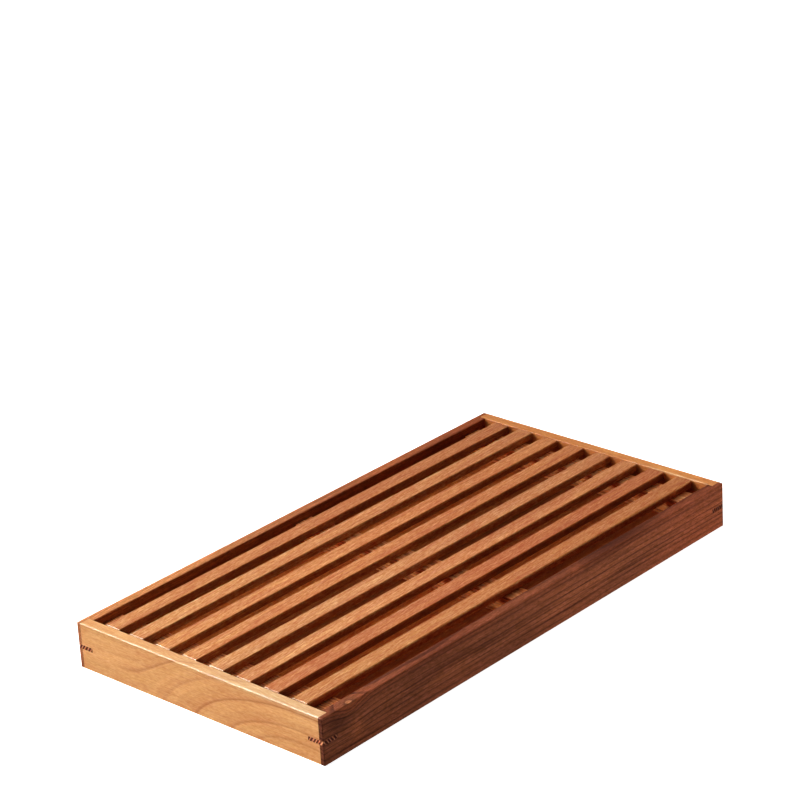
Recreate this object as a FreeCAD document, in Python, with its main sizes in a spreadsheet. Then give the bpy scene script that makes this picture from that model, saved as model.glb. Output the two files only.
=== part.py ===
# Bread board: a shallow wooden crumb tray, and a slatted grid that lifts out of it.
# Millimetres. X runs across the board, Y along it from front to back, Z up.
# The origin is the middle of the underside.

import FreeCAD, Part
import os
import Sketcher

doc = FreeCAD.newDocument("BreadBoard")


# Driving dimensions

driving_sizes = [
    ("board_length", 420, "overall, front to back"),
    ("board_width", 221.7, "overall, side to side"),
    ("board_height", 33.5, "overall, table to rim"),
    ("side_thickness", 7.3, "long side boards"),
    ("end_thickness", 8.3, "short end boards"),
    ("lip_thickness", 3.2, "wood that a side board's rabbet leaves in front of the end grain"),
    ("arris_radius", 0.5, "rounding of the tray's rim and upright corners, outside"),
    ("rim_radius", 0.3, "rounding of the tray's rim, inside"),
    ("foot_chamfer", 0.2, "bevel of the tray's lower outer edges"),
    ("panel_lift", 9, "free height below the floor panel"),
    ("panel_thickness", 5, "floor panel"),
    ("groove_depth", 3.5, "how far the panel's grooves go into the boards"),
    ("panel_play", 0.4, "room for the panel to swell, at each edge"),
    ("key_leg", 13, "length of a corner key along each outer face"),
    ("key_thickness", 3, "height of a corner key"),
    ("key_rise", 0.5, "from the top of the floor panel up to the corner keys"),
    ("slat_width", 12.6, "slats of the grid"),
    ("slat_thickness", 5.6, "slats of the grid"),
    ("slat_radius", 0.5, "rounding of a slat's top edges"),
    ("left_gap", 11.5, "open space between the left side board and the first slat"),
    ("first_gap", 9.9, "open space between the first slat and the second"),
    ("right_gap", 13.7, "open space between the last slat and the right side board"),
    ("bar_width", 16.5, "cross bars of the grid"),
    ("bar_setback", 7.5, "from the slats' ends to the nearest cross bar"),
    ("bar_chamfer", 0.4, "bevel of the cross bars' edges"),
    ("grid_end_play", 0.8, "from the slats' ends to the end boards"),
    ("grid_side_play", 1.2, "from the bars' ends to the side boards"),
    ("dowel_diameter", 4, "dowel at each crossing of a slat and a bar"),
    ("dowel_in_slat", 3.5, "depth of the dowel in the slat"),
    ("dowel_in_bar", 6, "depth of the dowel in the bar"),
    ("dowel_play", 0.1, "bore over dowel, for the glue"),
]

sheet = doc.addObject("Spreadsheet::Sheet", "Sizes")
for row, (alias, number, meaning) in enumerate(driving_sizes, start=1):
    sheet.set(f"A{row}", meaning)
    sheet.set(f"B{row}", str(number))
    sheet.setAlias(f"B{row}", alias)
doc.recompute()


# Lengths that follow from the driving dimensions, as expressions

half_length = "(Sizes.board_length / 2)"
half_width = "(Sizes.board_width / 2)"
inner_width = "(Sizes.board_width - 2 * Sizes.side_thickness)"
inner_length = "(Sizes.board_length - 2 * Sizes.end_thickness)"
floor_height = "(Sizes.panel_lift + Sizes.panel_thickness)"
key_height = f"({floor_height} + Sizes.key_rise)"
bar_height = f"(Sizes.board_height - {floor_height} - Sizes.slat_thickness)"
bar_length = f"({inner_width} - 2 * Sizes.grid_side_play)"
slat_length = f"({inner_length} - 2 * Sizes.grid_end_play)"
slat_underside = "(Sizes.board_height - Sizes.slat_thickness)"
first_place = f"(Sizes.left_gap + Sizes.slat_width / 2 - {inner_width} / 2)"
second_place = f"({first_place} + Sizes.first_gap + Sizes.slat_width)"
last_place = f"({inner_width} / 2 - Sizes.right_gap - Sizes.slat_width / 2)"
slat_span = f"({last_place} - {second_place})"
bar_inset = "(Sizes.bar_setback + Sizes.bar_width / 2)"
bar_span = f"({slat_length} - 2 * {bar_inset})"
bore_radius = "((Sizes.dowel_diameter + Sizes.dowel_play) / 2)"


def value(expression):
    return float(sheet.evalExpression(expression))


def near(number, target):
    return abs(number - target) < 0.001


# Middles of the slats: the first lies closer to the second, which the others follow evenly.
# Middles of the bars: spread evenly about the middle of the board.
even_slats = 7
slat_places = [first_place] + [
    f"{second_place} + {number / (even_slats - 1)} * {slat_span}" for number in range(even_slats)]
bar_names = ["front", "middle", "back"]
bar_places = [f"{number / (len(bar_names) - 1) - 0.5} * {bar_span}" for number in range(len(bar_names))]
pieces = []


# Tools for bodies, sketches and features

def new_body(label, x, y, z="0", turn=0):
    body = doc.addObject("PartDesign::Body", label)
    body.Label = label
    body.Placement = FreeCAD.Placement(
        FreeCAD.Vector(), FreeCAD.Rotation(FreeCAD.Vector(0, 0, 1), turn))
    body.setExpression("Placement.Base.x", x)
    body.setExpression("Placement.Base.y", y)
    body.setExpression("Placement.Base.z", z)
    pieces.append(body)
    return body


def new_sketch(body, name, role, offset="0"):
    sketch = body.newObject("Sketcher::SketchObject", f"{body.Name}_{name}")
    plane = next(item for item in body.Origin.OriginFeatures if item.Role == role)
    sketch.AttachmentSupport = [(plane, "")]
    sketch.MapMode = "FlatFace"
    sketch.setExpression("AttachmentOffset.Base.z", offset)
    return sketch


def dimension(sketch, kind, references, name, expression):
    # A dimension that follows its expression, named so that it can be found in the sketch
    index = sketch.addConstraint(Sketcher.Constraint(kind, *references, value(expression)))
    sketch.renameConstraint(index, name)
    sketch.setExpression(f"Constraints.{name}", expression)


def place_point(sketch, line, name, across, up):
    # The start of a line, at its distances from the sketch's two axes
    for kind, axis, distance in (("DistanceX", -2, across), ("DistanceY", -1, up)):
        if distance == "0":
            sketch.addConstraint(Sketcher.Constraint("PointOnObject", line, 1, axis))
        else:
            dimension(sketch, kind, (-1, 1, line, 1), f"{name}_{kind[-1].lower()}", distance)


def add_outline(sketch, corners):
    # Closed run of straight lines, joined end to start; returns the first line's number
    first = sketch.GeometryCount
    for start, end in zip(corners, corners[1:] + corners[:1]):
        line = Part.LineSegment(FreeCAD.Vector(*start, 0), FreeCAD.Vector(*end, 0))
        sketch.addGeometry(line, False)
    for side in range(len(corners)):
        following = first + (side + 1) % len(corners)
        sketch.addConstraint(Sketcher.Constraint("Coincident", first + side, 2, following, 1))
    return first


def add_rectangle(sketch, name, across, up, width, height):
    left, low = value(across), value(up)
    right, high = left + value(width), low + value(height)
    first = add_outline(sketch, [(left, low), (right, low), (right, high), (left, high)])
    for side in (0, 2):
        sketch.addConstraint(Sketcher.Constraint("Horizontal", first + side))
        sketch.addConstraint(Sketcher.Constraint("Vertical", first + side + 1))
    place_point(sketch, first, name, across, up)
    dimension(sketch, "DistanceX", (first, 1, first, 2), f"{name}_width", width)
    dimension(sketch, "DistanceY", (first + 1, 1, first + 1, 2), f"{name}_height", height)


def add_key_triangle(sketch, name, across, up, reach_across=1, reach_up=1):
    # Right triangle on the outer corner of the tray, its legs along the two outer faces
    leg = value("Sizes.key_leg")
    left, low = value(across), value(up)
    first = add_outline(sketch, [
        (left, low), (left + reach_across * leg, low), (left, low + reach_up * leg)])
    sketch.addConstraint(Sketcher.Constraint("Horizontal", first))
    sketch.addConstraint(Sketcher.Constraint("Vertical", first + 2))
    place_point(sketch, first, name, across, up)
    along = (first, 1, first, 2) if reach_across > 0 else (first, 2, first, 1)
    dimension(sketch, "DistanceX", along, f"{name}_leg", "Sizes.key_leg")
    upward = (first + 2, 2, first + 2, 1) if reach_up > 0 else (first + 2, 1, first + 2, 2)
    dimension(sketch, "DistanceY", upward, f"{name}_rise", "Sizes.key_leg")


def add_bore_circle(sketch, across, up):
    centre = FreeCAD.Vector(value(across), value(up), 0)
    circle = sketch.addGeometry(
        Part.Circle(centre, FreeCAD.Vector(0, 0, 1), value(bore_radius)), False)
    dimension(sketch, "DistanceX", (-1, 1, circle, 3), "bore_x", across)
    dimension(sketch, "DistanceY", (-1, 1, circle, 3), "bore_y", up)
    dimension(sketch, "Radius", (circle,), "bore_radius", bore_radius)


def pad(body, sketch, length):
    feature = body.newObject("PartDesign::Pad", f"{sketch.Name}_pad")
    feature.Profile = sketch
    feature.setExpression("Length", length)
    sketch.Visibility = False
    doc.recompute()
    return feature


def pocket(body, sketch, length, reverse=False):
    # A pocket runs against its sketch's normal, or along it where it is reversed
    before = body.Shape.Volume
    feature = body.newObject("PartDesign::Pocket", f"{sketch.Name}_pocket")
    feature.Profile = sketch
    feature.Reversed = reverse
    feature.setExpression("Length", length)
    sketch.Visibility = False
    doc.recompute()
    if not feature.Shape.Volume < before:
        raise RuntimeError(f"{feature.Name} takes nothing away")
    return feature


def row_of(body, feature, direction, length, count):
    # Copies of a feature in a row along one of its sketch's axes
    before = body.Shape.Volume
    pattern = body.newObject("PartDesign::LinearPattern", f"{feature.Name}_row")
    pattern.Originals = [feature]
    pattern.Direction = (feature.Profile[0], [direction])
    pattern.setExpression("Length", length)
    pattern.Occurrences = count
    body.Tip = pattern
    doc.recompute()
    if not pattern.Shape.Volume < before:
        raise RuntimeError(f"{pattern.Name} takes nothing away")


def dress_edges(body, name, kind, size, limit, chosen):
    # Rounds or bevels the straight edges whose middle and direction the test picks.
    # The size follows its expression, up to what the wall at that edge has room for.
    base = body.Tip
    names = []
    for number, edge in enumerate(base.Shape.Edges, start=1):
        start, end = edge.Vertexes[0].Point, edge.Vertexes[-1].Point
        run = end - start
        straight = run.Length > 0 and near(run.Length, edge.Length)
        if straight and chosen((start + end) / 2, run):
            names.append(f"Edge{number}")
    if not names:
        raise RuntimeError(f"no edges for {name} on {body.Label}")
    feature = body.newObject(f"PartDesign::{kind}", f"{body.Name}_{name}")
    feature.Base = (base, names)
    feature.setExpression("Radius" if kind == "Fillet" else "Size", f"min({size}; 0.45 * {limit})")
    doc.recompute()


# Tray: two side boards, two end boards, four corner keys and a floor panel

def side_board(label, x, y, turn):
    # Own frame: outer face on x = 0, front end on y = 0, underside on z = 0
    body = new_body(label, x, y, turn=turn)
    plan = new_sketch(body, "plan", "XY_Plane")
    add_rectangle(plan, "board", "0", "0", "Sizes.side_thickness", "Sizes.board_length")
    pad(body, plan, "Sizes.board_height")

    rabbets = new_sketch(body, "rabbets", "XY_Plane")
    depth = "Sizes.side_thickness - Sizes.lip_thickness"
    back = "Sizes.board_length - Sizes.end_thickness"
    add_rectangle(rabbets, "front", "Sizes.lip_thickness", "0", depth, "Sizes.end_thickness")
    add_rectangle(rabbets, "back", "Sizes.lip_thickness", back, depth, "Sizes.end_thickness")
    pocket(body, rabbets, "Sizes.board_height", reverse=True)

    groove = new_sketch(body, "groove", "XZ_Plane")
    add_rectangle(groove, "groove", "Sizes.side_thickness - Sizes.groove_depth",
                  "Sizes.panel_lift", "Sizes.groove_depth", "Sizes.panel_thickness")
    pocket(body, groove, "Sizes.board_length")

    length, height = value("Sizes.board_length"), value("Sizes.board_height")

    def outside(middle, run):
        across_end = near(middle.y, 0) or near(middle.y, length)
        return near(middle.x, 0) if near(run.x, 0) else across_end

    def arris(middle, run):
        return outside(middle, run) and not near(middle.z, 0)

    def foot(middle, run):
        return outside(middle, run) and near(middle.z, 0)

    def rim(middle, run):
        on_face = near(middle.x, value("Sizes.side_thickness"))
        return on_face and near(middle.z, height) and near(run.x, 0)

    lip = "Sizes.lip_thickness"
    dress_edges(body, "arrises", "Fillet", "Sizes.arris_radius", lip, arris)
    dress_edges(body, "foot", "Chamfer", "Sizes.foot_chamfer", lip, foot)
    dress_edges(body, "rim", "Fillet", "Sizes.rim_radius", "Sizes.side_thickness", rim)

    slots = new_sketch(body, "key_slots", "XY_Plane", key_height)
    add_key_triangle(slots, "front", "0", "0")
    add_key_triangle(slots, "back", "0", "Sizes.board_length", reach_up=-1)
    pocket(body, slots, "Sizes.key_thickness", reverse=True)


def end_board(label, x, y, turn):
    # Own frame: the tray's corner at the origin, outer face on y = 0, underside on z = 0
    body = new_body(label, x, y, turn=turn)
    plan = new_sketch(body, "plan", "XY_Plane")
    add_rectangle(plan, "board", "Sizes.lip_thickness", "0",
                  "Sizes.board_width - 2 * Sizes.lip_thickness", "Sizes.end_thickness")
    pad(body, plan, "Sizes.board_height")

    groove = new_sketch(body, "groove", "YZ_Plane")
    add_rectangle(groove, "groove", "Sizes.end_thickness - Sizes.groove_depth",
                  "Sizes.panel_lift", "Sizes.groove_depth", "Sizes.panel_thickness")
    pocket(body, groove, "Sizes.board_width", reverse=True)

    height = value("Sizes.board_height")

    def arris(middle, run):
        return near(middle.y, 0) and near(middle.z, height)

    def foot(middle, run):
        return near(middle.y, 0) and near(middle.z, 0)

    def rim(middle, run):
        return near(middle.y, value("Sizes.end_thickness")) and near(middle.z, height)

    lip = "Sizes.lip_thickness"
    dress_edges(body, "arris", "Fillet", "Sizes.arris_radius", lip, arris)
    dress_edges(body, "foot", "Chamfer", "Sizes.foot_chamfer", lip, foot)
    dress_edges(body, "rim", "Fillet", "Sizes.rim_radius", "Sizes.end_thickness", rim)

    slots = new_sketch(body, "key_slots", "XY_Plane", key_height)
    add_key_triangle(slots, "left", "0", "0")
    add_key_triangle(slots, "right", "Sizes.board_width", "0", reach_across=-1)
    pocket(body, slots, "Sizes.key_thickness", reverse=True)


def corner_key(label, x, y, turn):
    # Own frame: the tray's corner at the origin, legs along x and y
    body = new_body(label, x, y, key_height, turn)
    plan = new_sketch(body, "plan", "XY_Plane")
    add_key_triangle(plan, "key", "0", "0")
    pad(body, plan, "Sizes.key_thickness")

    def corner(middle, run):
        return near(middle.x, 0) and near(middle.y, 0)

    dress_edges(body, "corner", "Fillet", "Sizes.arris_radius", "Sizes.lip_thickness", corner)


def bottom_panel():
    # The panel reaches into the grooves on all four sides, short of their bottoms
    reach = "(Sizes.groove_depth - Sizes.panel_play)"
    width = f"({inner_width} + 2 * {reach})"
    length = f"({inner_length} + 2 * {reach})"
    body = new_body("bottom_panel", f"-{width} / 2", f"-{length} / 2", "Sizes.panel_lift")
    plan = new_sketch(body, "plan", "XY_Plane")
    add_rectangle(plan, "panel", "0", "0", width, length)
    pad(body, plan, "Sizes.panel_thickness")


# Grid: slats lengthways on cross bars, with a dowel at each crossing

def slat(label, place):
    # Own frame: left front lower corner at the origin
    body = new_body(label, f"{place} - Sizes.slat_width / 2", f"-{slat_length} / 2", slat_underside)
    plan = new_sketch(body, "plan", "XY_Plane")
    add_rectangle(plan, "slat", "0", "0", "Sizes.slat_width", slat_length)
    pad(body, plan, "Sizes.slat_thickness")

    def top(middle, run):
        return near(middle.z, value("Sizes.slat_thickness"))

    dress_edges(body, "top", "Fillet", "Sizes.slat_radius", "Sizes.slat_thickness", top)

    bore = new_sketch(body, "bore", "XY_Plane")
    add_bore_circle(bore, "Sizes.slat_width / 2", bar_inset)
    first = pocket(body, bore, "Sizes.dowel_in_slat", reverse=True)
    row_of(body, first, "V_Axis", bar_span, len(bar_names))


def cross_bar(label, place):
    # Own frame: left front lower corner at the origin
    body = new_body(label, f"-{bar_length} / 2", f"{place} - Sizes.bar_width / 2", floor_height)
    plan = new_sketch(body, "plan", "XY_Plane")
    add_rectangle(plan, "bar", "0", "0", bar_length, "Sizes.bar_width")
    pad(body, plan, bar_height)

    def any_edge(middle, run):
        return True

    least = f"min(Sizes.bar_width; {bar_height})"
    dress_edges(body, "edges", "Chamfer", "Sizes.bar_chamfer", least, any_edge)

    bore = new_sketch(body, "first_bore", "XY_Plane", bar_height)
    add_bore_circle(bore, f"{bar_length} / 2 + {first_place}", "Sizes.bar_width / 2")
    pocket(body, bore, "Sizes.dowel_in_bar")
    bore = new_sketch(body, "bore", "XY_Plane", bar_height)
    add_bore_circle(bore, f"{bar_length} / 2 + {second_place}", "Sizes.bar_width / 2")
    second = pocket(body, bore, "Sizes.dowel_in_bar")
    row_of(body, second, "H_Axis", slat_span, even_slats)


def grid_dowels():
    # One round dowel at each crossing, from the bottom of the bar's bore to the top of the slat's
    dowels = []
    for across in slat_places:
        for along in bar_places:
            dowel = doc.addObject("Part::Cylinder", "dowel")
            dowel.setExpression("Radius", "Sizes.dowel_diameter / 2")
            dowel.setExpression("Height", "Sizes.dowel_in_bar + Sizes.dowel_in_slat")
            dowel.setExpression("Placement.Base.x", across)
            dowel.setExpression("Placement.Base.y", along)
            dowel.setExpression("Placement.Base.z", f"{slat_underside} - Sizes.dowel_in_bar")
            dowels.append(dowel)
    group = doc.addObject("Part::Compound", "grid_dowels")
    group.Label = "grid_dowels"
    group.Links = dowels
    pieces.append(group)


side_board("side_board_left", f"-{half_width}", f"-{half_length}", 0)
side_board("side_board_right", half_width, half_length, 180)
end_board("end_board_front", f"-{half_width}", f"-{half_length}", 0)
end_board("end_board_back", half_width, half_length, 180)
corner_key("corner_key_front_left", f"-{half_width}", f"-{half_length}", 0)
corner_key("corner_key_front_right", half_width, f"-{half_length}", 90)
corner_key("corner_key_back_right", half_width, half_length, 180)
corner_key("corner_key_back_left", f"-{half_width}", half_length, 270)
bottom_panel()
for number, place in enumerate(slat_places, start=1):
    slat(f"slat_{number}", place)
for name, place in zip(bar_names, bar_places):
    cross_bar(f"cross_bar_{name}", place)
grid_dowels()
doc.recompute()


# Every object and piece is checked before anything is written

for item in doc.Objects:
    if "Invalid" in item.State or "Error" in item.State:
        raise RuntimeError(f"{item.Label} failed: {item.State}")
for piece in pieces:
    if piece.Shape.isNull() or not piece.Shape.isValid():
        raise RuntimeError(f"{piece.Label} has no valid shape")

os.makedirs("parts", exist_ok=True)
for piece in pieces:
    piece.Shape.exportStep(f"parts/{piece.Label}.step")
    print(piece.Label, len(piece.Shape.Solids), "solids,", round(piece.Shape.Volume / 1000, 2), "cm3")
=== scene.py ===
# Bread board with a lift-out slatted grid: woods, studio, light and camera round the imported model
import math

import bpy
from mathutils import Matrix, Vector

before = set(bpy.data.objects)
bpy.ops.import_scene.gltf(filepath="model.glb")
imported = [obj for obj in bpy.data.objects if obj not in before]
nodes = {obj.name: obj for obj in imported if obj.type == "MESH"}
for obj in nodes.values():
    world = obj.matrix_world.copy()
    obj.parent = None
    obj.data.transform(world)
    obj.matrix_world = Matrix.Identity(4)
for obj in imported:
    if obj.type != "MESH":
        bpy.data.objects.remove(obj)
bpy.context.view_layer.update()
print("model loaded:", len(nodes), "pieces")


# Camera: above the front right corner, with a long lens

cameraSetup = {
    "place": (1.24489, -1.34593, 0.92873),
    "azimuth": 42.817,      # degrees, 0 looks along +Y
    "elevation": 23.125,    # degrees above the horizon
    "roll": -3.372,
    "lens": 133.56,         # mm, for the sensor below
    "sensor": 36,
    "nearest": 0.05,
    "farthest": 20,
}


def makeCamera(setup):
    data = bpy.data.cameras.new("photoCamera")
    data.sensor_width = setup["sensor"]
    data.lens = setup["lens"]
    data.clip_start = setup["nearest"]
    data.clip_end = setup["farthest"]
    camera = bpy.data.objects.new("photoCamera", data)
    bpy.context.scene.collection.objects.link(camera)
    turn = Matrix.Rotation(math.radians(setup["azimuth"]), 4, "Z")
    lean = Matrix.Rotation(math.radians(90 - setup["elevation"]), 4, "X")
    roll = Matrix.Rotation(math.radians(setup["roll"]), 4, "Z")
    camera.matrix_world = Matrix.Translation(setup["place"]) @ turn @ lean @ roll
    bpy.context.scene.camera = camera


# Studio: a white ground, and soft panels round the board in an almost dark room

studio = {
    "floorSize": 60.0,
    "floorColour": (0.8, 0.8, 0.8, 1),
    "floorRoughness": 0.9,
    "floorGloss": 0.1,
    "floorGlow": 1.0,           # the ground stays white, also in the board's own shadow
    "roomColour": (0.9, 0.95, 1.0, 1),
    "roomStrength": 0.01,
}


def makeFloor(setup):
    half = setup["floorSize"] / 2
    corners = [(-half, -half, 0), (half, -half, 0), (half, half, 0), (-half, half, 0)]
    mesh = bpy.data.meshes.new("floor")
    mesh.from_pydata(corners, [], [(0, 1, 2, 3)])
    floor = bpy.data.objects.new("floor", mesh)
    bpy.context.scene.collection.objects.link(floor)
    material = bpy.data.materials.new("paleFloor")
    material.use_nodes = True
    shader = material.node_tree.nodes["Principled BSDF"]
    shader.inputs["Base Color"].default_value = setup["floorColour"]
    shader.inputs["Roughness"].default_value = setup["floorRoughness"]
    shader.inputs["Specular IOR Level"].default_value = setup["floorGloss"]
    shader.inputs["Emission Color"].default_value = (1, 1, 1, 1)
    shader.inputs["Emission Strength"].default_value = setup["floorGlow"]
    mesh.materials.append(material)
    floor.visible_diffuse = False     # the glow whitens the ground and lights nothing
    floor.visible_glossy = False


# Soft panels: where each hangs, seen from the middle of the board, and the point that it faces
plainPanel = {
    "shape": "ELLIPSE", "aim": (0.0, 0.0, 0.0), "spread": 180, "colour": (1.0, 0.98, 0.95), "shine": True,
}
panels = {
    # The main light, large and from the front left
    "keyPanel": dict(
        plainPanel, hangs=(-0.745, -0.415, 0.522), distance=2.6, size=(2.5, 2.5), power=53.5),
    # Same side, held in a narrow beam on the front edge, so the light falls off toward the back
    "frontPanel": dict(
        plainPanel, hangs=(-0.62, -0.60, 0.50), distance=2.0, size=(1.1, 1.1), power=4.5,
        aim=(0.03, -0.32, 0.03), spread=34),
    # Low strip at the right: what the ground throws back at the side away from the main light
    "sidePanel": dict(
        plainPanel, hangs=(0.86, 0.50, 0.07), distance=0.85, size=(0.8, 0.1), power=6.2,
        aim=(0.1, 0.05, 0.02), colour=(1.0, 0.96, 0.92), shape="RECTANGLE", shine=False),
    # High on the main light's side: reaches down between the slats
    "topPanel": dict(
        plainPanel, hangs=(-0.33, -0.20, 0.92), distance=2.2, size=(1.2, 1.2), power=13.5),
    # Weak and from behind: seen as sheen on the tops
    "backPanel": dict(
        plainPanel, hangs=(-0.56, 0.56, 0.61), distance=2.4, size=(1.0, 1.0), power=1.6,
        colour=(0.88, 0.93, 1.0)),
}


def makePanel(name, panel):
    data = bpy.data.lights.new(name, "AREA")
    data.shape = panel["shape"]
    data.size, data.size_y = panel["size"]
    data.energy = panel["power"]
    data.spread = math.radians(panel["spread"])
    data.color = panel["colour"]
    light = bpy.data.objects.new(name, data)
    light.location = Vector(panel["hangs"]).normalized() * panel["distance"]
    away = light.location - Vector(panel["aim"])
    light.rotation_euler = away.to_track_quat("Z", "Y").to_euler()
    light.visible_glossy = panel["shine"]
    bpy.context.scene.collection.objects.link(light)


def makeLight(setup):
    scene = bpy.context.scene
    world = bpy.data.worlds.new("studio")
    world.use_nodes = True
    background = world.node_tree.nodes["Background"]
    background.inputs["Color"].default_value = setup["roomColour"]
    background.inputs["Strength"].default_value = setup["roomStrength"]
    scene.world = world
    for name, panel in panels.items():
        makePanel(name, panel)
    scene.view_settings.view_transform = "Standard"


# Shader steps, used by every wood below

def addNode(tree, kind, inputs=None, **settings):
    node = tree.nodes.new(kind)
    for key, setting in settings.items():
        setattr(node, key, setting)
    for key, source in (inputs or {}).items():
        socket = node.inputs[key]
        if isinstance(source, bpy.types.NodeSocket):
            tree.links.new(source, socket)
        else:
            socket.default_value = source
    return node


def calculate(tree, operation, *numbers):
    return addNode(tree, "ShaderNodeMath", dict(enumerate(numbers)), operation=operation).outputs[0]


def multiply(tree, first, *others):
    product = first
    for factor in others:
        product = calculate(tree, "MULTIPLY", product, factor)
    return product


def combine(tree, x, y, z):
    return addNode(tree, "ShaderNodeCombineXYZ", {"X": x, "Y": y, "Z": z}).outputs[0]


def separate(tree, vector):
    return addNode(tree, "ShaderNodeSeparateXYZ", {0: vector}).outputs


def blend(tree, factor, first, second, mode="MIX"):
    # Of a colour mix, sockets 0, 6 and 7 are the factor and the two colours, and output 2 the result
    node = addNode(tree, "ShaderNodeMix", {0: factor, 6: first, 7: second},
                   data_type="RGBA", blend_type=mode, clamp_factor=True)
    return node.outputs[2]


def tinted(tree, mask, colour, tint):
    # The colour multiplied by the tint, as far as the mask lets it
    return blend(tree, mask, colour, blend(tree, 1.0, colour, tint, "MULTIPLY"))


def rampOf(tree, factor, *stops):
    # Smooth grey ramp through (position, value) stops
    node = addNode(tree, "ShaderNodeValToRGB", {"Fac": factor})
    ramp = node.color_ramp
    ramp.interpolation = "EASE"
    while len(ramp.elements) < len(stops):
        ramp.elements.new(0.5)
    for element, (position, value) in zip(ramp.elements, stops):
        element.position = position
        element.color = (value, value, value, 1)
    return node.outputs["Color"]


def between(tree, factor, low, high):
    # Rises smoothly from 0 at the low level to 1 at the high one
    return rampOf(tree, factor, (low, 0.0), (high, 1.0))


def noiseAlongLine(tree, distance, detail):
    inputs = {"W": distance, "Scale": 1.0, "Detail": detail}
    return addNode(tree, "ShaderNodeTexNoise", inputs, noise_dimensions="1D").outputs[0]


def grainNoise(tree, axes, length, width, seed, detail=2.0, roughness=0.5):
    # Noise drawn out along the grain: length by width, in millimetres
    place = [calculate(tree, "DIVIDE", axis, size) for axis, size in zip(axes, (length, width, width))]
    inputs = {
        "Vector": combine(tree, *place), "W": seed, "Scale": 1.0, "Detail": detail, "Roughness": roughness,
    }
    return addNode(tree, "ShaderNodeTexNoise", inputs, noise_dimensions="4D").outputs


def toneOf(tree, shade, depth):
    # A multiplier round 1, as deep as the depth
    return calculate(tree, "MULTIPLY_ADD", shade, depth, 1 - depth / 2)


def softSpot(tree, centre, reach, axes):
    # 1 at the centre, fading to 0 past the reach in each direction
    total = 0.0
    for axis, middle, size in zip(axes, centre, reach):
        off = calculate(tree, "DIVIDE", calculate(tree, "SUBTRACT", axis, middle), size)
        total = calculate(tree, "MULTIPLY_ADD", off, off, total)
    return calculate(tree, "EXPONENT", multiply(tree, total, -1.0))


# Wood: growth rings round a pith line, with fibres and pores along it, all in millimetres.
# Shared starting point; each piece's own look changes what is different. Places are (along, across, up)

plainWood = {
    "grain": "Y", "seed": 1.0,
    "pith": (60.0, -80.0), "lean": 0.0, "leanFrom": -1000.0,
    "waver": 6.0, "waverLength": 160.0, "waverWidth": 40.0,
    "ringWidth": 3.2, "ringProfile": [(0.0, 0.25), (0.35, 0.0), (0.86, 1.0), (1.0, 0.25)], "ringDepth": 0.4,
    "ringUneven": 4.0, "ringSteady": 0.3, "bandWidth": 9.0,
    "patchLength": 70.0, "patchWidth": 10.0, "patchDepth": 0.45,
    "fibreLength": 36.0, "fibreWidth": 1.1, "fibreDepth": 0.80,
    "fleckLength": 11.0, "fleckWidth": 1.2, "fleckDepth": 0.58,
    "speckLength": 3.4, "speckWidth": 0.75, "speckDepth": 0.60,
    "poreLength": 3.5, "poreWidth": 0.32, "poreDepth": 0.5,
    "redShare": 0.4,            # how much of the figure's contrast the red part takes
    "pale": (0.60, 0.28, 0.12, 1), "warm": (0.50, 0.20, 0.08, 1), "dark": (0.22, 0.08, 0.035, 1),
    "patch": (0.42, 0.15, 0.07, 1), "endGrain": (0.62, 0.55, 0.5, 1), "sawnFaceAndShade": (1.0, 1.0, 1.0, 1),
    "edgeRoughness": 0.14, "gloss": 0.5,
    "lines": [], "streaksAndPaintedLight": [], "knots": [],
}

# Layers of figure: how each noise is cut into shades, and its own step from the wood's seed
figureLayers = {
    "patch": {"levels": (0.36, 0.64), "step": 7},
    "fibre": {"levels": (0.3, 0.7), "step": 3, "detail": 4.0, "roughness": 0.7},
    "fleck": {"levels": (0.34, 0.66), "step": 5, "detail": 3.0, "roughness": 0.65},
    "speck": {"levels": (0.3, 0.7), "step": 9, "detail": 1.0},
    "pore": {"levels": (0.62, 0.69), "step": 11, "detail": 1.0},
}

# What all woods share and no piece changes
woodHabits = {
    "waverDetail": 3.0,
    "leanBend": 30.0,           # mm over which a leaning pith line bends
    "swingRings": 4,            # rings in one swing of their width
    "swingDetail": 2.0,
    "faintLength": 60.0, "faintWidth": 8.0, "faintStep": 13, "faintLevels": (0.3, 0.6),
    "bandLevels": (0.34, 0.66), "bandDetail": 3.0,
    "fleckSlant": 0.12,         # flecks and specks run a little across the fibres
    "blueShare": 0.7,           # blue drops once more with flecks and specks, so dark grain is warmer
    "faceLevels": (0.6, 0.95),
    "edgeProfile": [(0.15, 0.0), (0.35, 1.0), (0.9, 1.0), (0.985, 0.0)],
    # How far rounded top edges blend toward the pale colour: partly wear, partly painted highlight
    "edgeWearAndHighlight": 0.3,
    "roughness": 0.5, "poreRoughness": 0.18, "fibreRoughness": 0.08,
    "poreRelief": -0.06, "fibreRelief": 0.03, "ringRelief": 0.02,
    "reliefStrength": 0.6, "reliefHeight": 0.001,
}

# A single growth line past its sharp side: how strong its tail is and how far out, in shares of the
# line's width, and over how many mm on each side of its start it fades in
lineTail = {"strength": 0.38, "outward": 2.2, "farthest": 0.7, "startFade": 18}

# A knot's colour sets in at the first level of its soft spot and is full at the second
knotLevels = (0.25, 0.6)

# Which part axis runs along the grain, then the two across it
grainOrder = {"X": (0, 1, 2), "Y": (1, 0, 2), "Z": (2, 0, 1)}


def straightGrain(tree, look):
    # Millimetres along the grain, and across it in two directions
    place = addNode(tree, "ShaderNodeTexCoord").outputs["Object"]
    millimetres = addNode(tree, "ShaderNodeVectorMath", {0: place, 1: (1000, 1000, 1000)},
                          operation="MULTIPLY").outputs[0]
    parts = separate(tree, millimetres)
    return [parts[number] for number in grainOrder[look["grain"]]]


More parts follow.
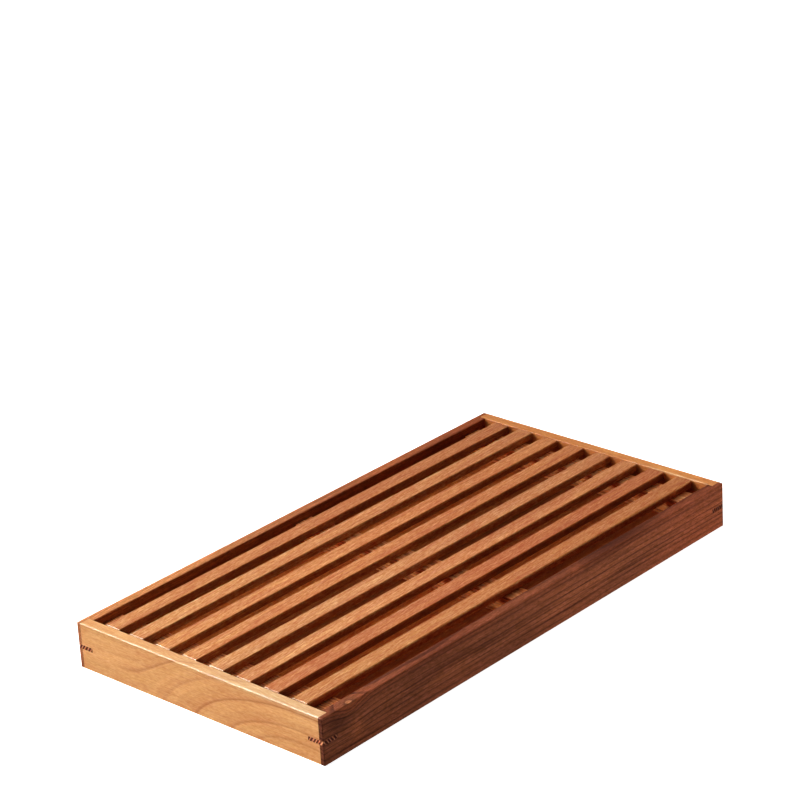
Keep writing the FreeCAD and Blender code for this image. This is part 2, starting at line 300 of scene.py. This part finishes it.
def bentGrain(tree, look, straight):
    # Slow waver: the grain wanders along the board, and its fibres part round a knot
    along, across, up = straight
    noise = grainNoise(tree, straight, look["waverLength"], look["waverWidth"], look["seed"],
                       detail=woodHabits["waverDetail"])
    sway = separate(tree, noise["Color"])
    sideways = calculate(tree, "SUBTRACT", sway[0], 0.5)
    upward = calculate(tree, "SUBTRACT", sway[1], 0.5)
    bentAcross = calculate(tree, "MULTIPLY_ADD", sideways, look["waver"], across)
    bentUp = calculate(tree, "MULTIPLY_ADD", upward, look["waver"], up)
    for knot in look["knots"]:
        push = multiply(tree, softSpot(tree, knot["centre"], knot["reach"], straight), knot["push"])
        bentUp = calculate(tree, "ADD", bentUp, push)
    return [along, bentAcross, bentUp]


def pithDistance(tree, look, bent):
    # Distance from the pith line, which may lean away from the board's length
    along, across, up = bent
    pithAcross, pithUp = look["pith"]
    leaning = calculate(tree, "SMOOTH_MAX", along, look["leanFrom"], woodHabits["leanBend"])
    fromPith = calculate(tree, "SUBTRACT", across,
                         calculate(tree, "MULTIPLY_ADD", leaning, look["lean"], pithAcross))
    abovePith = calculate(tree, "SUBTRACT", up, pithUp)
    squares = calculate(tree, "ADD", multiply(tree, fromPith, fromPith), multiply(tree, abovePith, abovePith))
    return calculate(tree, "SQRT", squares)


def ringShades(tree, look, radius, bent):
    # Rings of uneven width and strength, some of them fading out along the board
    swing = woodHabits["swingRings"] * look["ringWidth"]
    uneven = noiseAlongLine(tree, calculate(tree, "DIVIDE", radius, swing), woodHabits["swingDetail"])
    phase = calculate(tree, "ADD", calculate(tree, "DIVIDE", radius, look["ringWidth"]),
                      multiply(tree, uneven, look["ringUneven"]))
    shade = rampOf(tree, calculate(tree, "FRACT", phase), *look["ringProfile"])
    ringNumber = calculate(tree, "ADD", calculate(tree, "FLOOR", phase), look["seed"])
    chance = addNode(tree, "ShaderNodeTexWhiteNoise", {"W": ringNumber},
                     noise_dimensions="1D").outputs["Value"]
    faint = grainNoise(tree, bent, woodHabits["faintLength"], woodHabits["faintWidth"],
                       look["seed"] + woodHabits["faintStep"])[0]
    steady = look["ringSteady"]
    low, high = woodHabits["faintLevels"]
    strength = multiply(tree, calculate(tree, "MULTIPLY_ADD", chance, 1 - steady, steady),
                        rampOf(tree, faint, (low, steady), (high, 1.0)))
    return multiply(tree, shade, strength)


def bandShades(tree, look, radius):
    # Broad bands of colour that follow the rings
    place = calculate(tree, "ADD", calculate(tree, "DIVIDE", radius, look["bandWidth"]), look["seed"])
    return between(tree, noiseAlongLine(tree, place, woodHabits["bandDetail"]), *woodHabits["bandLevels"])


def layerShades(tree, look, layer, axes):
    habits = dict(figureLayers[layer])
    levels = habits.pop("levels")
    seed = look["seed"] + habits.pop("step")
    noise = grainNoise(tree, axes, look[layer + "Length"], look[layer + "Width"], seed, **habits)
    return between(tree, noise[0], *levels)


def lineMask(tree, line, radius, along):
    # One growth line of its own: sharp on the inner side, fading outward and toward its start
    width = line["sharp"] + line["fade"]
    peak = line["sharp"] / width
    tail = min(lineTail["outward"] * peak, lineTail["farthest"])
    step = calculate(tree, "DIVIDE", calculate(
        tree, "SUBTRACT", radius, line["radius"] - line["sharp"]), width)
    shade = rampOf(tree, step, (0.0, 0.0), (peak, 1.0), (tail, lineTail["strength"]), (1.0, 0.0))
    started = addNode(tree, "ShaderNodeMapRange", {
        "Value": along,
        "From Min": line["start"] - lineTail["startFade"],
        "From Max": line["start"] + lineTail["startFade"],
    }, interpolation_type="SMOOTHSTEP").outputs[0]
    return multiply(tree, shade, started, line["depth"])


def knotMask(tree, knot, straight):
    spot = softSpot(tree, knot["centre"], knot["size"], straight)
    return multiply(tree, between(tree, spot, *knotLevels), knot["depth"])


def figureTone(tree, look, shades):
    # Fibres, flecks and specks darken green and blue more than red, as in real wood
    fibre, fleck, speck = (toneOf(tree, shades[layer], look[layer + "Depth"])
                           for layer in ("fibre", "fleck", "speck"))
    green = multiply(tree, fibre, fleck, speck)
    red = calculate(tree, "MULTIPLY_ADD", green, look["redShare"], 1 - look["redShare"])
    share = woodHabits["blueShare"]
    blue = multiply(tree, green, calculate(
        tree, "MULTIPLY_ADD", multiply(tree, fleck, speck), share, 1 - share))
    return combine(tree, red, green, blue)


def faceMask(tree, facing):
    return between(tree, calculate(tree, "ABSOLUTE", facing), *woodHabits["faceLevels"])


def makeWood(name, look):
    material = bpy.data.materials.new(name)
    material.use_nodes = True
    tree = material.node_tree
    shader = tree.nodes["Principled BSDF"]

    straight = straightGrain(tree, look)
    bent = bentGrain(tree, look, straight)
    radius = pithDistance(tree, look, bent)
    rings = ringShades(tree, look, radius, bent)

    # Fibres: long thin streaks. Flecks: shorter and slanting. Specks: the finest. Pores: short dark dashes
    along, across, up = straight
    slanted = [along, calculate(tree, "MULTIPLY_ADD", along, woodHabits["fleckSlant"], across), up]
    shades = {
        "patch": layerShades(tree, look, "patch", straight),
        "fibre": layerShades(tree, look, "fibre", bent),
        "fleck": layerShades(tree, look, "fleck", slanted),
        "speck": layerShades(tree, look, "speck", slanted),
        "pore": layerShades(tree, look, "pore", straight),
    }

    # Colour: broad bands first, then the rings and single lines, stretches of another tone (some of them
    # painted light and painted shade), the knots, and the figure
    colour = blend(tree, bandShades(tree, look, radius), look["pale"], look["warm"])
    colour = blend(tree, multiply(tree, shades["patch"], look["patchDepth"]), colour, look["patch"])
    colour = blend(tree, multiply(tree, rings, look["ringDepth"]), colour, look["dark"])
    for line in look["lines"]:
        colour = blend(tree, lineMask(tree, line, radius, along), colour, look["dark"])
    for tintSpot in look["streaksAndPaintedLight"]:
        colour = tinted(tree, softSpot(tree, tintSpot["centre"], tintSpot["reach"], bent), colour, tintSpot["tint"])
    for knot in look["knots"]:
        colour = blend(tree, knotMask(tree, knot, straight), colour, knot["colour"])
    colour = blend(tree, 1.0, colour, figureTone(tree, look, shades), "MULTIPLY")
    colour = blend(tree, multiply(tree, shades["pore"], look["poreDepth"]), colour, look["dark"])

    # End grain drinks more oil, so it is darker, and so are most faces left as sawn. On the slats and the
    # back board this tint is painted shade on faces that sit in shadow, and on one slat painted light.
    # Rounded top edges are painted paler: partly wear, partly painted highlight
    facing = separate(tree, addNode(tree, "ShaderNodeTexCoord").outputs["Normal"])
    endFacing, acrossFacing = (facing[number] for number in grainOrder[look["grain"]][:2])
    colour = tinted(tree, faceMask(tree, endFacing), colour, look["endGrain"])
    colour = tinted(tree, faceMask(tree, acrossFacing), colour, look["sawnFaceAndShade"])
    edge = rampOf(tree, facing[2], *woodHabits["edgeProfile"])
    colour = blend(tree, multiply(tree, edge, woodHabits["edgeWearAndHighlight"]), colour, look["pale"])
    tree.links.new(colour, shader.inputs["Base Color"])

    # Pores and fibres take the shine off, and the rounded edges are sanded smooth
    plain = woodHabits["roughness"]
    dullness = calculate(tree, "MULTIPLY_ADD", shades["pore"], woodHabits["poreRoughness"], plain)
    dullness = calculate(tree, "MULTIPLY_ADD", shades["fibre"], woodHabits["fibreRoughness"], dullness)
    dullness = calculate(tree, "MULTIPLY_ADD", edge, look["edgeRoughness"] - plain, dullness)
    tree.links.new(dullness, shader.inputs["Roughness"])
    shader.inputs["Specular IOR Level"].default_value = look["gloss"]

    relief = multiply(tree, shades["fibre"], woodHabits["fibreRelief"])
    relief = calculate(tree, "MULTIPLY_ADD", shades["pore"], woodHabits["poreRelief"], relief)
    relief = calculate(tree, "MULTIPLY_ADD", rings, woodHabits["ringRelief"], relief)
    bump = addNode(tree, "ShaderNodeBump", {
        "Height": relief, "Strength": woodHabits["reliefStrength"], "Distance": woodHabits["reliefHeight"]})
    tree.links.new(bump.outputs[0], shader.inputs["Normal"])
    return material


# Dark boards. The right one has a small knot by its front corner, at the top edge

sideWood = dict(
    plainWood, pith=(60.0, -150.0), waver=3.6, waverLength=130.0, waverWidth=30.0,
    ringWidth=3.7, ringProfile=[(0.0, 0.0), (0.60, 0.0), (0.78, 0.85), (0.90, 1.0), (1.0, 0.0)],
    ringDepth=1.0, ringUneven=2.0, ringSteady=0.5, bandWidth=14.0, patchDepth=0.5,
    fibreLength=70.0, fibreWidth=0.9, fibreDepth=0.5, fleckDepth=0.25, speckDepth=0.35, poreDepth=0.6,
    redShare=1.0, endGrain=(0.75, 0.7, 0.75, 1), gloss=0.1, edgeRoughness=0.25)
rightWood = dict(
    sideWood, seed=2.0,
    pale=(0.272, 0.084, 0.038, 1), warm=(0.218, 0.065, 0.030, 1), dark=(0.042, 0.014, 0.009, 1),
    patch=(0.15, 0.049, 0.026, 1),
    knots=[{"centre": (-184.0, 109.5, 34.0), "reach": (13.0, 14.0, 14.0), "push": 6.0,
            "size": (2.8, 2.0, 1.8), "colour": (0.46, 0.17, 0.070, 1), "depth": 0.8}],
    streaksAndPaintedLight=[
        {"centre": (-85.0, 108.0, 20.5), "reach": (38.0, 60.0, 3.2), "tint": (0.62, 0.60, 0.64, 1)},
        {"centre": (-65.0, 108.0, 17.0), "reach": (75.0, 60.0, 1.0), "tint": (0.48, 0.46, 0.48, 1)},
        {"centre": (-180.0, 108.0, 4.3), "reach": (32.0, 60.0, 0.9), "tint": (0.42, 0.40, 0.42, 1)},
        {"centre": (85.0, 108.0, 13.0), "reach": (42.0, 60.0, 0.8), "tint": (0.38, 0.36, 0.40, 1)},
        {"centre": (30.0, 108.0, 8.3), "reach": (38.0, 60.0, 0.8), "tint": (0.40, 0.38, 0.40, 1)},
        {"centre": (-197.0, 108.0, 26.0), "reach": (11.0, 60.0, 7.0), "tint": (0.55, 0.55, 0.62, 1)},
        {"centre": (-179.0, 110.0, 14.0), "reach": (5.0, 60.0, 9.0), "tint": (1.35, 1.30, 1.20, 1)},
        {"centre": (185.0, 108.0, 14.0), "reach": (60.0, 60.0, 40.0), "tint": (1.05, 0.92, 0.90, 1)},
        {"centre": (-95.0, 107.0, 35.0), "reach": (48.0, 20.0, 5.0), "tint": (0.76, 0.66, 0.66, 1)},
        {"centre": (90.0, 107.0, 35.0), "reach": (55.0, 20.0, 5.0), "tint": (0.38, 0.32, 0.36, 1)},
        {"centre": (44.0, 107.0, 35.0), "reach": (8.0, 20.0, 4.0), "tint": (1.35, 1.30, 1.20, 1)},
        {"centre": (0.0, 107.0, 35.5), "reach": (1000.0, 20.0, 3.0), "tint": (1.30, 1.14, 1.02, 1)},
    ])
leftWood = dict(
    sideWood, seed=3.0, ringDepth=0.5, endGrain=(0.92, 0.86, 0.98, 1),
    pale=(0.40, 0.125, 0.050, 1), warm=(0.35, 0.104, 0.042, 1), dark=(0.17, 0.05, 0.024, 1),
    patch=(0.32, 0.09, 0.040, 1),
    streaksAndPaintedLight=[
        {"centre": (-150.0, -107.0, 34.0), "reach": (125.0, 20.0, 30.0), "tint": (1.62, 2.10, 1.86, 1)},
        {"centre": (95.0, -107.0, 34.0), "reach": (35.0, 20.0, 30.0), "tint": (1.18, 1.12, 0.98, 1)},
        {"centre": (190.0, -107.0, 34.0), "reach": (60.0, 20.0, 30.0), "tint": (0.92, 0.76, 0.68, 1)},
        # Painted shade: the inner face toward the slats is darkened along its whole length
        {"centre": (0.0, -103.0, 17.0), "reach": (1000.0, 2.0, 15.0), "tint": (0.38, 0.35, 0.36, 1)},
    ])

# Pale boards at the ends: the front one's grain rises in a flame toward the right

endWood = dict(
    plainWood, grain="X", seed=5.0, pith=(-248.9, -10.0), lean=0.41, leanFrom=-50.0, waver=2.0,
    ringWidth=2.6, ringDepth=0.22, bandWidth=7.0,
    pale=(0.83, 0.445, 0.177, 1), warm=(0.745, 0.376, 0.141, 1), dark=(0.52, 0.182, 0.060, 1),
    patch=(0.715, 0.34, 0.126, 1), sawnFaceAndShade=(1.04, 1.0, 0.97, 1),
    patchDepth=0.6, fibreDepth=0.34, fleckDepth=0.20, speckDepth=0.24, poreDepth=0.3,
    lines=[
        {"radius": 63.3, "sharp": 0.9, "fade": 8.0, "depth": 0.80, "start": -66.0},
        {"radius": 52.8, "sharp": 1.5, "fade": 6.0, "depth": 0.50, "start": -40.0},
        {"radius": 41.0, "sharp": 0.9, "fade": 9.0, "depth": 0.95, "start": -30.0},
        {"radius": 28.7, "sharp": 1.2, "fade": 7.0, "depth": 0.62, "start": 15.0},
        {"radius": 20.0, "sharp": 1.2, "fade": 6.0, "depth": 0.45, "start": 40.0},
    ],
    streaksAndPaintedLight=[
        # Front board's top: darker on the left, and a painted sheen, paler and whiter, on the right
        {"centre": (-110.0, -206.0, 36.0), "reach": (110.0, 30.0, 3.5), "tint": (0.80, 0.72, 0.60, 1)},
        {"centre": (70.0, -206.0, 36.0), "reach": (130.0, 30.0, 3.5), "tint": (0.83, 1.14, 1.60, 1)},
        # Painted highlight: a pale line along the front top edge
        {"centre": (0.0, -209.6, 33.2), "reach": (1000.0, 0.9, 0.9), "tint": (1.08, 1.25, 1.6, 1)},
        {"centre": (75.0, -210.0, 4.0), "reach": (45.0, 30.0, 12.0), "tint": (0.95, 0.90, 0.86, 1)},
    ])
# Back board: the faces across its grain, its inner face in the tray's shadow among them, are darker, painted
# shade; and a painted highlight, a pale line, runs along its inner top edge toward the right end
backEndWood = dict(
    endWood, seed=6.0, lines=[], ringDepth=0.3, sawnFaceAndShade=(0.75, 0.62, 0.50, 1),
    streaksAndPaintedLight=[{"centre": (76.0, 202.0, 33.4), "reach": (26.0, 0.9, 1.0), "tint": (1.35, 2.3, 4.5, 1)}],
    pale=(0.72, 0.28, 0.072, 1), warm=(0.66, 0.24, 0.062, 1), dark=(0.46, 0.15, 0.037, 1),
    patch=(0.62, 0.22, 0.057, 1))

# Reddish floor of the tray, with lengthwise bands of painted light and painted shade: brighter where light
# through the gaps between the slats falls, darker in the slats' shade

floorWood = dict(
    plainWood, seed=9.0, pith=(20.0, -150.0), waver=12.0, ringWidth=5.0, gloss=0.1,
    pale=(0.40, 0.098, 0.021, 1), warm=(0.35, 0.082, 0.017, 1), dark=(0.20, 0.038, 0.009, 1),
    patch=(0.29, 0.069, 0.015, 1),
    streaksAndPaintedLight=[
        {"centre": (0.0, -62.0, 14.0), "reach": (800.0, 26.0, 60.0), "tint": (1.85, 2.05, 1.95, 1)},
        {"centre": (0.0, -8.0, 14.0), "reach": (800.0, 22.0, 60.0), "tint": (0.54, 0.44, 0.36, 1)},
        {"centre": (-100.0, 36.0, 14.0), "reach": (160.0, 26.0, 60.0), "tint": (1.60, 1.40, 1.05, 1)},
        {"centre": (0.0, 73.0, 14.0), "reach": (800.0, 12.0, 60.0), "tint": (0.60, 0.42, 0.32, 1)},
        {"centre": (0.0, -100.0, 14.0), "reach": (800.0, 11.0, 60.0), "tint": (0.92, 0.74, 0.66, 1)},
        {"centre": (105.0, 10.0, 14.0), "reach": (60.0, 17.0, 60.0), "tint": (0.70, 0.70, 0.70, 1)},
        {"centre": (105.0, 48.0, 14.0), "reach": (60.0, 12.0, 60.0), "tint": (1.35, 1.35, 1.25, 1)},
    ])

# The grid: bars and slats from the same pale to orange wood, no two slats alike

barWood = dict(
    plainWood, grain="X", seed=12.0, pith=(30.0, -60.0), waver=3.0,
    ringWidth=2.3, ringProfile=[(0.0, 0.0), (0.4, 0.0), (0.6, 1.0), (0.8, 1.0), (1.0, 0.0)],
    ringDepth=0.7, ringUneven=1.5, ringSteady=0.7, gloss=0.2, edgeRoughness=0.4,
    pale=(0.96, 0.39, 0.14, 1), warm=(0.90, 0.32, 0.105, 1), dark=(0.43, 0.13, 0.04, 1),
    patch=(0.82, 0.27, 0.09, 1), sawnFaceAndShade=(1.0, 0.95, 0.85, 1),
    streaksAndPaintedLight=[
        {"centre": (100.0, -110.0, 28.0), "reach": (75.0, 200.0, 60.0), "tint": (0.66, 0.55, 0.46, 1)},
        {"centre": (-50.0, -60.0, 28.0), "reach": (60.0, 150.0, 60.0), "tint": (1.05, 1.15, 1.25, 1)},
    ])


def keyWood(side, end):
    # Corner key: its grain stands across the corner, so pale slanting stripes show on both faces
    return dict(
        plainWood, grain="Z", seed=15.0 + side, pith=(205.0 * side, 305.0 * end), lean=0.65, waver=0.0,
        ringWidth=1.9, ringProfile=[(0.0, 0.0), (0.22, 0.0), (0.42, 1.0), (0.85, 1.0), (1.0, 0.0)],
        ringDepth=1.0, ringUneven=0.6, ringSteady=1.0,
        pale=(0.80, 0.30, 0.15, 1), warm=(0.70, 0.25, 0.12, 1), dark=(0.095, 0.022, 0.014, 1),
        patch=(0.25, 0.07, 0.04, 1), sawnFaceAndShade=(0.5, 0.5, 0.55, 1), endGrain=(1.0, 1.0, 1.0, 1), gloss=0.1,
        streaksAndPaintedLight=[
            # Painted highlight: a pale line down the front right corner's edge. The two back keys are
            # darkened
            {"centre": (16.0, 109.5, -210.5), "reach": (50.0, 1.8, 1.2), "tint": (2.5, 2.8, 2.3, 1)},
            {"centre": (16.0, 0.0, 205.0), "reach": (50.0, 500.0, 20.0), "tint": (0.45, 0.38, 0.38, 1)},
        ])


# Dowels: a darker wood than the rest, painted shade where their ends show in the dark holes between the slats
dowelWood = dict(
    plainWood, seed=18.0, grain="X", gloss=0.2,
    pale=(0.40, 0.15, 0.05, 1), warm=(0.34, 0.12, 0.04, 1))


# A slat's colours as shares of its middle colour: pale and dark grain lie on both sides of it
slatShares = {
    "pale": (1.07, 1.15, 1.20), "warm": (0.97, 0.94, 0.93),
    "dark": (0.72, 0.58, 0.52), "patch": (0.88, 0.80, 0.85),
}

# Painted sheen: a paler stretch near the front; and a painted highlight, a pale rim along the top edge of the
# front end
slatPaintedSheen = [
    {"centre": (-170.0, 0.0, 34.5), "reach": (125.0, 500.0, 2.6), "tint": (1.04, 1.21, 1.22, 1)},
    {"centre": (-200.75, 0.0, 33.3), "reach": (0.45, 500.0, 1.2), "tint": (1.35, 2.1, 3.6, 1)},
]


def slatWood(seed, middle, sawnFaceAndShade):
    colours = {name: (*(part * share for part, share in zip(middle, shares)), 1)
               for name, shares in slatShares.items()}
    return dict(plainWood, seed=seed, sawnFaceAndShade=sawnFaceAndShade, streaksAndPaintedLight=slatPaintedSheen, **colours)


# Each slat's middle colour, then the tint of its long sides: painted shade, darker where the sides face into
# the shaded gaps; on the last slat painted light, as it faces the wide gap
slatWoods = [
    slatWood(21.0, (0.495, 0.164, 0.0515), (0.57, 0.54, 0.46, 1)),
    slatWood(24.0, (0.575, 0.223, 0.0745), (0.68, 0.76, 0.77, 1)),
    slatWood(27.0, (0.550, 0.189, 0.0580), (0.70, 0.72, 0.68, 1)),
    slatWood(30.0, (0.535, 0.181, 0.0560), (0.73, 0.79, 0.71, 1)),
    slatWood(33.0, (0.540, 0.204, 0.0700), (0.65, 0.70, 0.72, 1)),
    slatWood(36.0, (0.530, 0.184, 0.0600), (0.80, 0.84, 0.76, 1)),
    slatWood(39.0, (0.468, 0.140, 0.0445), (0.45, 0.43, 0.32, 1)),
    slatWood(42.0, (0.485, 0.168, 0.0505), (1.08, 1.12, 1.05, 1)),
]


def dress(node, material):
    # The wood goes into every slot the node has, or into a new one
    slots = nodes[node].data.materials
    for number in range(len(slots)):
        slots[number] = material
    if not len(slots):
        slots.append(material)


makeCamera(cameraSetup)
makeFloor(studio)
makeLight(studio)
print("studio set up")

dress("side_board_left", makeWood("sideWoodLeft", leftWood))
dress("side_board_right", makeWood("sideWoodRight", rightWood))
dress("end_board_front", makeWood("endWoodFront", endWood))
dress("end_board_back", makeWood("endWoodBack", backEndWood))
dress("bottom_panel", makeWood("floorWood", floorWood))
for endName, end in (("front", -1), ("back", 1)):
    for sideName, side in (("left", -1), ("right", 1)):
        corner = f"{endName}_{sideName}"
        dress(f"corner_key_{corner}", makeWood(f"keyWood_{corner}", keyWood(side, end)))
print("tray dressed")

for number, look in enumerate(slatWoods, start=1):
    dress(f"slat_{number}", makeWood(f"slatWood{number}", look))
for number, place in enumerate(("front", "middle", "back")):
    look = dict(barWood, seed=barWood["seed"] + number)
    dress(f"cross_bar_{place}", makeWood(f"barWood_{place}", look))
dress("grid_dowels", makeWood("dowelWood", dowelWood))
print("grid dressed, woods made:", len(bpy.data.materials))
